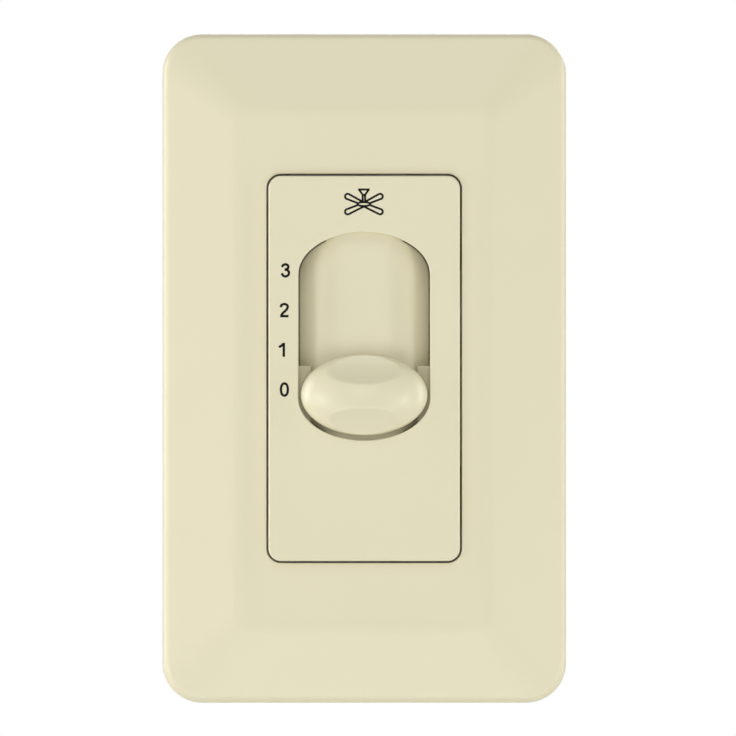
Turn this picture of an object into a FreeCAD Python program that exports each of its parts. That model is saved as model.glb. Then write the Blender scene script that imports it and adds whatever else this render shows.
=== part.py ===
import FreeCAD, Part
import math
import os

# Three-speed ceiling fan control for a single-gang wall box. An oval knob slides over a saddle in the
# opening of a rectangular face, inside a clip-on wall plate. A steel strap behind them carries a
# moulded case with the contacts and capacitors.
#
# Every piece is drawn lying on its back: x to the right, y up the wall and z out of the wall, with
# the wall surface at z = 0 and the middle of the plate at the origin. write() stands it upright, so
# that the finished part has +Z up and faces -Y. Sizes are in millimetres.

# Wall plate: a clip-on cover with a sloping border around a flat land
PLATE_WIDTH = 69.0
PLATE_HEIGHT = 114.3
PLATE_CORNER_RADIUS = 6.8
PLATE_WALL = 2.0
PLATE_BEVEL_WIDTH = 13.2
PLATE_BEVEL_RISE = 3.5
PLATE_LAND_CORNER_RADIUS = 2.5
PLATE_EDGE_ROUND = 1.6
PLATE_LAND_ROUND = 8.0
OPENING_WIDTH = 33.3
OPENING_HEIGHT = 66.3
OPENING_CORNER_RADIUS = 2.5
OPENING_EDGE_ROUND = 0.15
CATCH_LENGTH = 9.0
CATCH_DEPTH = 0.9
CATCH_THICKNESS = 0.7
CATCH_OFFSET = 36.0
CATCH_CLEARANCE = 0.15
STOP_WIDTH = 2.0
STOP_LENGTH = 10.0
STOP_OFFSET = 18.0

# Frame under the wall plate, which the plate clips on to
FRAME_THICKNESS = 1.4
FRAME_EDGE_GAP = 0.4
FRAME_HEADROOM = 0.15
FRAME_OPENING_GAP = 0.6

# Mounting strap of pressed steel
STRAP_THICKNESS = 1.5
STRAP_SETBACK = 0.3
STRAP_BODY_WIDTH = 42.0
STRAP_BODY_HEIGHT = 70.0
STRAP_END_INSET = 4.15
STRAP_END_WIDTH = 32.0
STRAP_CORNER_RADIUS = 2.0
EAR_NOTCH_WIDTH = 1.6
EAR_NOTCH_LENGTH = 4.0
EAR_NOTCH_OFFSET = 8.0
SCREW_SLOT_STRETCH = 3.0

# Screws
BOX_SCREW_RADIUS = 1.75
BOX_SCREW_NECK_RADIUS = 1.4
BOX_SCREW_NECK_LENGTH = 2.5
BOX_SCREW_LENGTH = 23.5
BOX_SCREW_HEAD_RADIUS = 2.8
BOX_SCREW_HEAD_HEIGHT = 2.2
PLATE_SCREW_EDGE = 4.58
PLATE_SCREW_TO_BOX_SCREW = 6.75
PLATE_SCREW_RADIUS = 1.6
PLATE_SCREW_LENGTH = 6.0
PLATE_SCREW_HEAD_RADIUS = 3.0
PLATE_SCREW_HEAD_HEIGHT = 1.4
PLATE_SCREW_SINK = 0.6
CASE_SCREW_RADIUS = 1.3
CASE_SCREW_LENGTH = 9.0
CASE_SCREW_HEAD_RADIUS = 2.4
CASE_SCREW_HEAD_HEIGHT = 1.6
CASE_SCREW_CLEARANCE = 0.85
CASE_SCREW_Y = 26.5
BOARD_SCREW_RADIUS = 1.0
BOARD_SCREW_LENGTH = 6.0
BOARD_SCREW_HEAD_RADIUS = 2.0
BOARD_SCREW_HEAD_HEIGHT = 1.2
BOARD_SCREW_X = 13.5
BOARD_SCREW_Y = 19.8
TERMINAL_SCREW_RADIUS = 2.0
TERMINAL_SCREW_LENGTH = 7.0
TERMINAL_SCREW_HEAD_RADIUS = 3.7
TERMINAL_SCREW_HEAD_HEIGHT = 2.2
GROUND_SCREW_HEAD_RADIUS = 3.8
GROUND_SCREW_HEAD_HEIGHT = 2.4
GROUND_SCREW_X = 11.0
GROUND_SCREW_DROP = 1.5
SCREW_SLOT_WIDTH = 0.9
SCREW_SLOT_DEPTH = 0.7
SCREW_HEAD_ROUND = 0.5
SCREW_TIP_CHAMFER = 0.4
SCREW_CLEARANCE = 0.3
THREAD_CLEARANCE = 0.05
HEAD_CLEARANCE = 0.8
RETAINER_SIZE = 8.0
RETAINER_THICKNESS = 0.8

# Face with the opening for the knob
FACE_GAP = 0.36
FACE_PROUD = 1.3
FACE_THICKNESS = 1.9
FACE_WALL = 1.6
FACE_SIDE_LAND = 3.49
FACE_EDGE_ROUND = 0.35
WINDOW_EDGE_ROUND = 0.2
WINDOW_END_GAP = 0.25
HOOK_OFFSET = 20.0
HOOK_WIDTH = 6.0
HOOK_BARB = 0.7
HOOK_BARB_HEIGHT = 1.4
HOOK_CLEARANCE = 0.2
RAIL_CLEARANCE = 0.25
RAIL_HEIGHT = 2.0

# Knob and its travel
KNOB_HEIGHT = 13.84
KNOB_RISE = 4.5
KNOB_SKIRT = 1.1
KNOB_FLOAT = 0.3
KNOB_REST_BELOW_CENTRE = 4.48
KNOB_WINDOW_GAP = 0.4
KNOB_RIDGE_WIDTH = 4.04
KNOB_RIDGE_DROP = 0.25
SCOOP_RADIUS = 20.0
SCOOP_RIM_RISE = 1.0
KNOB_POCKET_INSET = 3.3
KNOB_POCKET_HEIGHT = 5.2
KNOB_POCKET_DEPTH = 3.2
KNOB_PEG_RADIUS = 0.6
KNOB_PEG_SPACING = 3.2
KNOB_PEG_EDGE = 0.8
SPEED_STEP = 6.8
SPEED_COUNT = 3
OVERTRAVEL_BELOW = 0.6
OVERTRAVEL_ABOVE = 0.1

# Saddle under the knob, moulded with the face
SADDLE_DEPTH = 1.8
SADDLE_SIDE_REACH = 2.9
SADDLE_THICKNESS = 1.3
SADDLE_GAP = 0.2
SADDLE_CREASE_ROUND = 12.0
SADDLE_BRIDGE_MARGIN = 0.35
SADDLE_BRIDGE_LENGTH = 1.8

# Carriage that carries the knob round the saddle
CARRIAGE_FLOAT = 0.3
CARRIAGE_BASE_THICKNESS = 1.5
CARRIAGE_BASE_HEIGHT = 14.0
CARRIAGE_LEG_THICKNESS = 1.6
CARRIAGE_LEG_GAP = 1.0
TAB_HEIGHT = 9.8
TAB_THICKNESS = 0.8
TAB_REACH = 2.1
TAB_CLEARANCE = 0.3
POST_WIDTH = 5.0
POST_HEIGHT = 6.0
POST_CLEARANCE = 0.35
POST_END_CLEARANCE = 0.5
PEG_RADIUS = 0.9
PEG_LENGTH = 0.8

# Leaf spring that clicks into the strap at each speed
DETENT_X = -8.0
DETENT_WIDTH = 4.0
DETENT_LENGTH = 12.0
DETENT_THICKNESS = 0.25
DETENT_POCKET_DEPTH = 0.95
DETENT_POCKET_GAP = 0.3
DETENT_NOSE_WIDTH = 2.4
DETENT_NOSE_BITE = 0.5
DETENT_SLOT_HEIGHT = 2.6

# Sheet and case behind the strap
SHEET_THICKNESS = 0.4
SHEET_CLEARANCE = 0.4
CASE_WIDTH = 40.0
CASE_HEIGHT = 62.0
CASE_DEPTH = 30.0
CASE_WALL = 1.8
CASE_CORNER_RADIUS = 2.5
CASE_EDGE_ROUND = 1.2
CASE_BOSS_RADIUS = 3.0
PILOT_DEPTH = 1.0
PILLAR_RADIUS = 2.4
PANEL_INSET = 3.5
PANEL_DEPTH = 0.5
PANEL_CORNER_RADIUS = 1.5
EJECTOR_MARK_RADIUS = 2.0
EJECTOR_MARK_DEPTH = 0.2
EJECTOR_MARK_INSET = 8.0
STRIP_GAUGE_LENGTH = 14.0
STRIP_GAUGE_WIDTH = 1.8
STRIP_GAUGE_DEPTH = 0.5
STRIP_GAUGE_Y = -18.0

# Circuit board with the contacts
BOARD_WIDTH = 35.0
BOARD_HEIGHT = 46.0
BOARD_THICKNESS = 1.6
BOARD_DEPTH = 3.6
PAD_THICKNESS = 0.3
PAD_WIDTH = 2.6
PAD_HEIGHT = 4.6
PAD_X = 5.0
BUS_OVERHANG = 3.0
WIPER_HEIGHT = 1.5
WIPER_THICKNESS = 0.25
WIPER_WIDTH = 3.2
WIPER_FLAT = 5.4
WIPER_TIP_RISE = 0.6
WIPER_TIP_REACH = 1.4

# Capacitors and resistors on the back of the board
CAPACITOR_WIDTH = 26.5
CAPACITOR_EDGE_ROUND = 0.6
CAPACITOR_LEAD_PITCH = 22.5
MEDIUM_CAPACITOR_HEIGHT = 11.0
MEDIUM_CAPACITOR_DEPTH = 19.0
MEDIUM_CAPACITOR_Y = 9.0
LOW_CAPACITOR_HEIGHT = 8.5
LOW_CAPACITOR_DEPTH = 17.0
LOW_CAPACITOR_Y = -2.2
LEAD_RADIUS = 0.4
LEAD_CLEARANCE = 0.1
LEAD_STUB = 0.6
RESISTOR_RADIUS = 1.6
RESISTOR_LENGTH = 9.0
RESISTOR_STANDOFF = 0.4
RESISTOR_END_ROUND = 0.6
RESISTOR_LEAD_REACH = 2.2
RESISTOR_LEAD_BEND = 1.0
RESISTOR_Y = -10.5
RESISTOR_PITCH = 4.5
RESISTOR_COUNT = 2

# Wire terminals in niches in the sides of the case
TERMINAL_Y = -12.0
TERMINAL_DEPTH = 14.6
NICHE_HEIGHT = 11.0
NICHE_LENGTH = 12.0
NICHE_DEPTH = 2.6
TERMINAL_PLATE_THICKNESS = 1.0
TERMINAL_PLATE_GAP = 0.6
TONGUE_WIDTH = 3.0
TONGUE_OFFSET = 4.6
TONGUE_LENGTH = 4.4
TONGUE_CLEARANCE = 0.2

# Heights of the stack, from the wall outwards
strap_back = STRAP_SETBACK
strap_front = strap_back + STRAP_THICKNESS
frame_front = strap_front + FRAME_THICKNESS
plate_screw_seat = frame_front - PLATE_SCREW_SINK
bevel_slope = PLATE_BEVEL_RISE / PLATE_BEVEL_WIDTH
cover_inner_rim = frame_front + FRAME_HEADROOM
plate_rim = cover_inner_rim + PLATE_WALL - bevel_slope * PLATE_WALL
plate_land = plate_rim + PLATE_BEVEL_RISE
face_front = plate_land + FACE_PROUD
face_back = face_front - FACE_THICKNESS
saddle_top = face_front - SADDLE_DEPTH
tab_top = face_back - TAB_CLEARANCE
tab_bottom = tab_top - TAB_THICKNESS
knob_bottom = saddle_top + KNOB_FLOAT
knob_equator = knob_bottom + KNOB_SKIRT
knob_peak = face_front + KNOB_RISE
carriage_bottom = strap_front + CARRIAGE_FLOAT
carriage_top = carriage_bottom + CARRIAGE_BASE_THICKNESS

# Heights behind the strap
case_front = strap_back - SHEET_THICKNESS
case_back = case_front - CASE_DEPTH
board_front = case_front - BOARD_DEPTH
board_back = board_front - BOARD_THICKNESS
pad_front = board_front + PAD_THICKNESS
post_end = pad_front + WIPER_HEIGHT

# Places of the terminals and of the parts behind the board
terminal_z = case_front - TERMINAL_DEPTH
niche_x = CASE_WIDTH / 2 - NICHE_DEPTH
terminal_face_x = niche_x + TERMINAL_PLATE_THICKNESS
tongue_low = terminal_z + TONGUE_OFFSET - TERMINAL_PLATE_THICKNESS / 2
tongue_x = niche_x - TONGUE_LENGTH + TERMINAL_PLATE_THICKNESS / 2
resistor_z = board_back - RESISTOR_STANDOFF - RESISTOR_RADIUS
resistor_lead_x = RESISTOR_LENGTH / 2 + RESISTOR_LEAD_REACH

# Places along the length of the strap
strap_height = PLATE_HEIGHT - 2 * STRAP_END_INSET
plate_screw_y = strap_height / 2 - PLATE_SCREW_EDGE
box_screw_y = plate_screw_y - PLATE_SCREW_TO_BOX_SCREW
ground_screw_y = -box_screw_y - GROUND_SCREW_DROP

# Places along the travel of the knob
travel = SPEED_STEP * SPEED_COUNT
rest_y = -KNOB_REST_BELOW_CENTRE
top_y = rest_y + travel
stops_y = [rest_y + SPEED_STEP * stop for stop in range(SPEED_COUNT + 1)]

# Window of the face, and what runs beside it
face_width = OPENING_WIDTH - 2 * FACE_GAP
face_height = OPENING_HEIGHT - 2 * FACE_GAP
face_corner = OPENING_CORNER_RADIUS - FACE_GAP
face_inner_x = face_width / 2 - FACE_WALL
case_screw_x = face_inner_x - CASE_SCREW_HEAD_RADIUS - CASE_SCREW_CLEARANCE
window_half_width = face_inner_x - FACE_SIDE_LAND
knob_half_width = window_half_width - KNOB_WINDOW_GAP
window_half_end = KNOB_HEIGHT / 2 + WINDOW_END_GAP
window_low = rest_y - OVERTRAVEL_BELOW
window_high = top_y + OVERTRAVEL_ABOVE
tab_inner_x = window_half_width - TAB_REACH
leg_inner_x = window_half_width - SADDLE_GAP + CARRIAGE_LEG_GAP
leg_outer_x = leg_inner_x + CARRIAGE_LEG_THICKNESS
peg_x = tab_inner_x + KNOB_PEG_EDGE
saddle_flat_x = tab_inner_x - SADDLE_SIDE_REACH
saddle_slope = (saddle_top - tab_bottom + TAB_CLEARANCE) / SADDLE_SIDE_REACH

SIDES = (-1, 1)
QUARTER_TURN = 90
LEVEL = 1e-4


def at(x, y, z):
    return FreeCAD.Vector(x, y, z)


def box(x_range, y_range, z_range):
    """Block between two values on each axis."""
    size = [high - low for low, high in (x_range, y_range, z_range)]
    return Part.makeBox(*size, at(x_range[0], y_range[0], z_range[0]))


def block(width, height, low, high, x=0, y=0):
    """Block centred on (x, y) between two heights."""
    return box((x - width / 2, x + width / 2), (y - height / 2, y + height / 2), (low, high))


def disc(radius, low, high, x=0, y=0):
    """Round bar along z centred on (x, y) between two heights."""
    return Part.makeCylinder(radius, high - low, at(x, y, low))


def joined(first, *others):
    """One solid from pieces that run into each other."""
    return first.fuse(list(others)).removeSplitter()


def rounded_outline(width, height, radius, z):
    """Rectangle with round corners, as arcs and lines in turn."""
    x = width / 2 - radius
    y = height / 2 - radius
    quarter = math.radians(QUARTER_TURN)
    arcs = []
    for turn, (corner_x, corner_y) in enumerate(((x, y), (-x, y), (-x, -y), (x, -y))):
        circle = Part.Circle(at(corner_x, corner_y, z), at(0, 0, 1), radius)
        arcs.append(Part.Arc(circle, turn * quarter, (turn + 1) * quarter).toShape())
    edges = []
    for arc, following in zip(arcs, arcs[1:] + arcs[:1]):
        edges.append(arc)
        edges.append(Part.LineSegment(arc.Vertexes[-1].Point, following.Vertexes[0].Point).toShape())
    return Part.Wire(edges)


def slab(width, height, radius, low, high):
    """Plate with round corners, centred on the origin, between two heights."""
    return Part.Face(rounded_outline(width, height, radius, low)).extrude(at(0, 0, high - low))


def ellipse_ended(half_width, half_end, low_y, high_y, low, high):
    """Prism with straight sides and a half ellipse at each end, between two heights."""
    top = Part.Ellipse(at(0, high_y, low), half_width, half_end)
    bottom = Part.Ellipse(at(0, low_y, low), half_width, half_end)
    top_arc = Part.ArcOfEllipse(top, 0, math.pi).toShape()
    bottom_arc = Part.ArcOfEllipse(bottom, math.pi, 2 * math.pi).toShape()
    left = Part.LineSegment(at(-half_width, high_y, low), at(-half_width, low_y, low)).toShape()
    right = Part.LineSegment(at(half_width, low_y, low), at(half_width, high_y, low)).toShape()
    outline = Part.Wire([top_arc, left, bottom_arc, right])
    return Part.Face(outline).extrude(at(0, 0, high - low))


def edges_at(shape, height):
    """Edges that lie level at one height."""
    return [edge for edge in shape.Edges if edge.BoundBox.ZLength < LEVEL
            and abs(edge.BoundBox.ZMin - height) < LEVEL]


def edges_within(edges, half_width, half_height):
    """Those of the edges whose middle lies within a rectangle about the origin."""
    middles = [(edge, edge.BoundBox.Center) for edge in edges]
    return [edge for edge, middle in middles
            if abs(middle.x) < half_width + LEVEL and abs(middle.y) < half_height + LEVEL]


def bent_strip(line, thickness, width):
    """Strip of even thickness along a bent line in (y, z), mitred at its bends, centred on x = 0."""
    headings = []
    for start, end in zip(line, line[1:]):
        length = math.hypot(end[0] - start[0], end[1] - start[1])
        headings.append(((end[0] - start[0]) / length, (end[1] - start[1]) / length))
    before = headings[:1] + headings
    after = headings + headings[-1:]
    upper = []
    lower = []
    for (y, z), (y_in, z_in), (y_out, z_out) in zip(line, before, after):
        reach = thickness / 2 / (1 + y_in * y_out + z_in * z_out)
        shift_y = -(z_in + z_out) * reach
        shift_z = (y_in + y_out) * reach
        upper.append(at(-width / 2, y + shift_y, z + shift_z))
        lower.append(at(-width / 2, y - shift_y, z - shift_z))
    outline = Part.makePolygon(upper + lower[::-1] + upper[:1])
    return Part.Face(outline).extrude(at(width, 0, 0))


def screw(radius, length, head_radius, head_height):
    """Slotted screw along z with the seat of its round head at z = 0 and its shank below."""
    head = disc(head_radius, 0, head_height)
    head = head.makeFillet(SCREW_HEAD_ROUND, edges_at(head, head_height))
    slot = block(2 * head_radius, SCREW_SLOT_WIDTH, head_height - SCREW_SLOT_DEPTH, head_height)
    shank = disc(radius, -length, 0)
    shank = shank.makeChamfer(SCREW_TIP_CHAMFER, edges_at(shank, -length))
    return joined(head.cut(slot), shank)


def moved(shape, x, y, z):
    copy = shape.copy()
    copy.translate(at(x, y, z))
    return copy


def cover_form(inset, rim, land):
    """Low hip-roofed form of the wall plate, drawn in by an inset, with its rim and land heights."""
    width = PLATE_WIDTH - 2 * inset
    height = PLATE_HEIGHT - 2 * inset
    corner = PLATE_CORNER_RADIUS - inset
    land_width = PLATE_WIDTH - 2 * PLATE_BEVEL_WIDTH
    land_height = PLATE_HEIGHT - 2 * PLATE_BEVEL_WIDTH
    eaves = rounded_outline(width, height, corner, rim)
    flat = rounded_outline(land_width, land_height, PLATE_LAND_CORNER_RADIUS, land)
    return joined(slab(width, height, corner, 0, rim), Part.makeLoft([eaves, flat], True, True))


def wall_plate():
    """Clip-on cover, hollow behind, with catches on its long sides and stops over the frame."""
    form = cover_form(0, plate_rim, plate_land)
    form = form.makeFillet(PLATE_EDGE_ROUND, edges_at(form, plate_rim))
    form = form.makeFillet(PLATE_LAND_ROUND, edges_at(form, plate_land))
    plate = form.cut(cover_form(PLATE_WALL, cover_inner_rim, plate_land - PLATE_WALL))
    plate = plate.cut(slab(OPENING_WIDTH, OPENING_HEIGHT, OPENING_CORNER_RADIUS, 0, face_front))
    rim = edges_within(edges_at(plate, plate_land), OPENING_WIDTH / 2, OPENING_HEIGHT / 2)
    plate = plate.makeFillet(OPENING_EDGE_ROUND, rim)
    inner_x = PLATE_WIDTH / 2 - PLATE_WALL
    catch_top = strap_front - CATCH_CLEARANCE
    stop_x = (OPENING_WIDTH + PLATE_WIDTH) / 4
    additions = []
    for side in SIDES:
        for end in SIDES:
            catch = block(CATCH_DEPTH + PLATE_WALL / 2, CATCH_LENGTH, catch_top - CATCH_THICKNESS, catch_top,
                          side * (inner_x - CATCH_DEPTH / 2 + PLATE_WALL / 4), end * CATCH_OFFSET)
            stop = block(STOP_WIDTH, STOP_LENGTH, frame_front, plate_land, side * stop_x, end * STOP_OFFSET)
            additions += [catch, stop.common(form)]
    return joined(plate, *additions)


def plate_frame():
    """Flat frame on the front of the strap, with room for the screw heads behind the cover."""
    inset = PLATE_WALL + FRAME_EDGE_GAP
    frame = slab(PLATE_WIDTH - 2 * inset, PLATE_HEIGHT - 2 * inset, PLATE_CORNER_RADIUS - inset,
                 strap_front, frame_front)
    cuts = [slab(face_width + 2 * FRAME_OPENING_GAP, face_height + 2 * FRAME_OPENING_GAP,
                 OPENING_CORNER_RADIUS, strap_front, frame_front)]
    for end in SIDES:
        cuts.append(disc(BOX_SCREW_HEAD_RADIUS + HEAD_CLEARANCE, strap_front, frame_front,
                         y=end * box_screw_y))
        cuts.append(disc(PLATE_SCREW_RADIUS + SCREW_CLEARANCE, strap_front, frame_front,
                         y=end * plate_screw_y))
        cuts.append(disc(PLATE_SCREW_HEAD_RADIUS + SCREW_CLEARANCE, plate_screw_seat, frame_front,
                         y=end * plate_screw_y))
    return frame.cut(cuts)


def plate_frame_screws():
    """Two short screws through the frame into the ends of the strap."""
    one = screw(PLATE_SCREW_RADIUS, PLATE_SCREW_LENGTH, PLATE_SCREW_HEAD_RADIUS, PLATE_SCREW_HEAD_HEIGHT)
    return Part.makeCompound([moved(one, 0, end * plate_screw_y, plate_screw_seat) for end in SIDES])


def mounting_strap():
    """Pressed steel strap with ears at its ends, slots for the carriage and holes for every screw."""
    body = slab(STRAP_BODY_WIDTH, STRAP_BODY_HEIGHT, STRAP_CORNER_RADIUS, strap_back, strap_front)
    ends = slab(STRAP_END_WIDTH, strap_height, STRAP_CORNER_RADIUS, strap_back, strap_front)
    slot_reach = POST_HEIGHT / 2 + POST_END_CLEARANCE
    cuts = [box((-POST_WIDTH / 2 - POST_CLEARANCE, POST_WIDTH / 2 + POST_CLEARANCE),
                (rest_y - slot_reach, top_y + slot_reach), (strap_back, strap_front))]
    for stop_y in stops_y:
        cuts.append(block(DETENT_WIDTH + 2 * DETENT_POCKET_GAP, DETENT_SLOT_HEIGHT, strap_back, strap_front,
                          DETENT_X, stop_y))
    for end in SIDES:
        slot_radius = BOX_SCREW_RADIUS + SCREW_CLEARANCE
        cuts.append(block(SCREW_SLOT_STRETCH, 2 * slot_radius, strap_back, strap_front, 0, end * box_screw_y))
        for side in SIDES:
            cuts.append(disc(slot_radius, strap_back, strap_front, side * SCREW_SLOT_STRETCH / 2,
                             end * box_screw_y))
            cuts.append(disc(CASE_SCREW_RADIUS + SCREW_CLEARANCE, strap_back, strap_front,
                             side * case_screw_x, end * CASE_SCREW_Y))
            cuts.append(hook_cut(side, end, HOOK_CLEARANCE, strap_back, strap_front))
            cuts.append(block(EAR_NOTCH_WIDTH, EAR_NOTCH_LENGTH, strap_back, strap_front,
                              side * EAR_NOTCH_OFFSET, end * (strap_height - EAR_NOTCH_LENGTH) / 2))
        cuts.append(disc(PLATE_SCREW_RADIUS + THREAD_CLEARANCE, strap_back, strap_front,
                         y=end * plate_screw_y))
    cuts.append(disc(TERMINAL_SCREW_RADIUS + THREAD_CLEARANCE, strap_back, strap_front,
                     -GROUND_SCREW_X, ground_screw_y))
    return joined(body, ends).cut(cuts)


def hook_cut(side, end, clearance, low, high):
    """Room for one hook of the face, between two heights."""
    return block(FACE_WALL + 2 * clearance, HOOK_WIDTH + 2 * clearance, low, high,
                 side * (face_inner_x + FACE_WALL / 2), end * HOOK_OFFSET)


def box_screws():
    """Two long screws into the wall box, necked so that the fibre squares keep them in the strap."""
    one = screw(BOX_SCREW_RADIUS, BOX_SCREW_LENGTH, BOX_SCREW_HEAD_RADIUS, BOX_SCREW_HEAD_HEIGHT)
    sleeve = disc(2 * BOX_SCREW_RADIUS, -BOX_SCREW_NECK_LENGTH, 0)
    neck = disc(BOX_SCREW_NECK_RADIUS, -BOX_SCREW_NECK_LENGTH, 0)
    one = one.cut(sleeve.cut(neck))
    return Part.makeCompound([moved(one, 0, end * box_screw_y, strap_front) for end in SIDES])


def screw_retainers():
    """Two fibre squares behind the strap, gripping the necks of the box screws."""
    squares = []
    for end in SIDES:
        square = block(RETAINER_SIZE, RETAINER_SIZE, strap_back - RETAINER_THICKNESS, strap_back,
                       y=end * box_screw_y)
        hole = disc(BOX_SCREW_NECK_RADIUS + THREAD_CLEARANCE, strap_back - RETAINER_THICKNESS, strap_back,
                    y=end * box_screw_y)
        squares.append(square.cut(hole))
    return Part.makeCompound(squares)


def saddle():
    """Bridge with sloping sides under the knob, held to the face at its two ends only."""
    edge_x = window_half_width - SADDLE_GAP
    angle = math.atan(saddle_slope)
    edge_top = saddle_top - saddle_slope * (edge_x - saddle_flat_x)
    edge_bottom = edge_top - SADDLE_THICKNESS / math.cos(angle)
    under_x = saddle_flat_x - SADDLE_THICKNESS * math.tan(angle / 2)
    reach = window_half_end + SADDLE_BRIDGE_LENGTH
    right = ((under_x, saddle_top - SADDLE_THICKNESS), (edge_x, edge_bottom), (edge_x, edge_top),
             (saddle_flat_x, saddle_top))
    ring = [at(x, window_low - reach, z) for x, z in right]
    ring += [at(-x, window_low - reach, z) for x, z in right[::-1]]
    length = window_high - window_low + 2 * reach
    vault = Part.Face(Part.makePolygon(ring + ring[:1])).extrude(at(0, length, 0))
    creases = [edge for edge in edges_at(vault, saddle_top) if edge.BoundBox.XLength < edge.Length / 2]
    vault = vault.makeFillet(SADDLE_CREASE_ROUND, creases)
    plan = ellipse_ended(edge_x, window_half_end - SADDLE_GAP, window_low, window_high, 0, face_front)
    bridge_x = saddle_flat_x + SADDLE_BRIDGE_MARGIN
    bridge = box((-bridge_x, bridge_x),
                 (window_low - reach, window_high + reach), (0, face_front))
    lowest = carriage_top + CARRIAGE_FLOAT
    room = box((-edge_x, edge_x), (window_low - reach, window_high + reach), (lowest, face_front))
    return vault.common(plan.fuse(bridge)).common(room)


def face_bezel():
    """Rectangular face with its side walls, window, saddle, guide rails and hooks behind the strap."""
    outer = slab(face_width, face_height, face_corner, strap_front, face_front)
    outer = outer.makeFillet(FACE_EDGE_ROUND, edges_at(outer, face_front))
    inner_width = face_width - 2 * FACE_WALL
    inner_height = face_height - 2 * FACE_WALL
    shell = outer.cut(block(inner_width, inner_height, strap_front, face_back))
    window = ellipse_ended(window_half_width, window_half_end, window_low, window_high, face_back, face_front)
    shell = shell.cut(window)
    rim = edges_within(edges_at(shell, face_front), face_inner_x, face_height / 2 - FACE_WALL)
    shell = shell.makeFillet(WINDOW_EDGE_ROUND, rim)
    additions = [saddle()]
    rail_x = leg_outer_x + RAIL_CLEARANCE
    for side in SIDES:
        rail = box(sorted((side * rail_x, side * (face_inner_x + FACE_WALL / 2))),
                   (window_low - window_half_end, window_high + window_half_end),
                   (tab_bottom - RAIL_HEIGHT, tab_bottom))
        additions.append(rail)
        for end in SIDES:
            barb_top = strap_back - HOOK_CLEARANCE
            barb_low = barb_top - HOOK_BARB_HEIGHT
            barb = box(sorted((side * (face_inner_x - HOOK_BARB), side * face_inner_x)),
                       (end * HOOK_OFFSET - HOOK_WIDTH / 2, end * HOOK_OFFSET + HOOK_WIDTH / 2),
                       (barb_low, barb_top))
            additions += [hook_cut(side, end, 0, barb_low, strap_front), barb]
    return joined(shell, *additions)


def oval(half_width, half_height, low, high, y):
    """Upright prism on an ellipse centred on x = 0."""
    ellipse = Part.Ellipse(at(0, y, low), half_width, half_height).toShape()
    return Part.Face(Part.Wire([ellipse])).extrude(at(0, 0, high - low))


def scoop_axis(end):
    """Place in (y, z) of the axis of a finger scoop, which leaves the ridge and runs out over the rim."""
    half_height = KNOB_HEIGHT / 2
    half_ridge = KNOB_RIDGE_WIDTH / 2 - end * KNOB_RIDGE_DROP
    dome = knob_peak - knob_equator
    ridge_z = knob_equator + dome * math.sqrt(1 - (half_ridge / half_height) ** 2)
    rim_z = knob_equator + SCOOP_RIM_RISE
    run = half_height - half_ridge
    drop = ridge_z - rim_z
    chord = math.hypot(run, drop)
    reach = math.sqrt(SCOOP_RADIUS ** 2 - (chord / 2) ** 2) / chord
    axis_y = (half_ridge + half_height) / 2 + drop * reach
    return rest_y + end * axis_y, (ridge_z + rim_z) / 2 + run * reach


def slide_knob():
    """Oval knob with a finger scoop above and below its ridge, hollow behind, pegged to the carriage."""
    scale = FreeCAD.Matrix()
    scale.scale(knob_half_width, KNOB_HEIGHT / 2, knob_peak - knob_equator)
    dome = Part.makeSphere(1, at(0, 0, 0), at(0, 0, 1), 0, 90).transformGeometry(scale)
    skirt = oval(knob_half_width, KNOB_HEIGHT / 2, knob_bottom, knob_equator, rest_y)
    pegs = [disc(KNOB_PEG_RADIUS, tab_bottom, knob_bottom, side * peg_x, rest_y + end * KNOB_PEG_SPACING / 2)
            for side in SIDES for end in SIDES]
    knob = joined(moved(dome, 0, rest_y, knob_equator), skirt, *pegs)
    cuts = [oval(knob_half_width - KNOB_POCKET_INSET, KNOB_POCKET_HEIGHT / 2, knob_bottom,
                 knob_bottom + KNOB_POCKET_DEPTH, rest_y)]
    for end in SIDES:
        scoop_start = at(-knob_half_width, *scoop_axis(end))
        cuts.append(Part.makeCylinder(SCOOP_RADIUS, 2 * knob_half_width, scoop_start, at(1, 0, 0)))
    return knob.cut(cuts)


def slide_carriage():
    """Carriage behind the saddle, with legs round its sides and tabs under the edges of the window."""
    base = block(2 * leg_outer_x, CARRIAGE_BASE_HEIGHT, carriage_bottom, carriage_top, 0, rest_y)
    post = block(POST_WIDTH, POST_HEIGHT, post_end, carriage_bottom, 0, rest_y)
    peg = disc(PEG_RADIUS, post_end - PEG_LENGTH, post_end, 0, rest_y)
    tab_range = (rest_y - TAB_HEIGHT / 2, rest_y + TAB_HEIGHT / 2)
    arms = []
    holes = [block(DETENT_WIDTH + 2 * DETENT_POCKET_GAP, DETENT_LENGTH + 2 * DETENT_POCKET_GAP,
                   carriage_bottom, carriage_bottom + DETENT_POCKET_DEPTH, DETENT_X, rest_y)]
    for side in SIDES:
        leg_range = sorted((side * leg_inner_x, side * leg_outer_x))
        arms.append(box(leg_range, tab_range, (carriage_bottom, tab_top)))
        reach_range = sorted((side * tab_inner_x, side * leg_outer_x))
        arms.append(box(reach_range, tab_range, (tab_bottom, tab_top)))
        for end in SIDES:
            holes.append(disc(KNOB_PEG_RADIUS + THREAD_CLEARANCE, tab_bottom, tab_top, side * peg_x,
                              rest_y + end * KNOB_PEG_SPACING / 2))
    return joined(base, post, peg, *arms).cut(holes)


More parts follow.
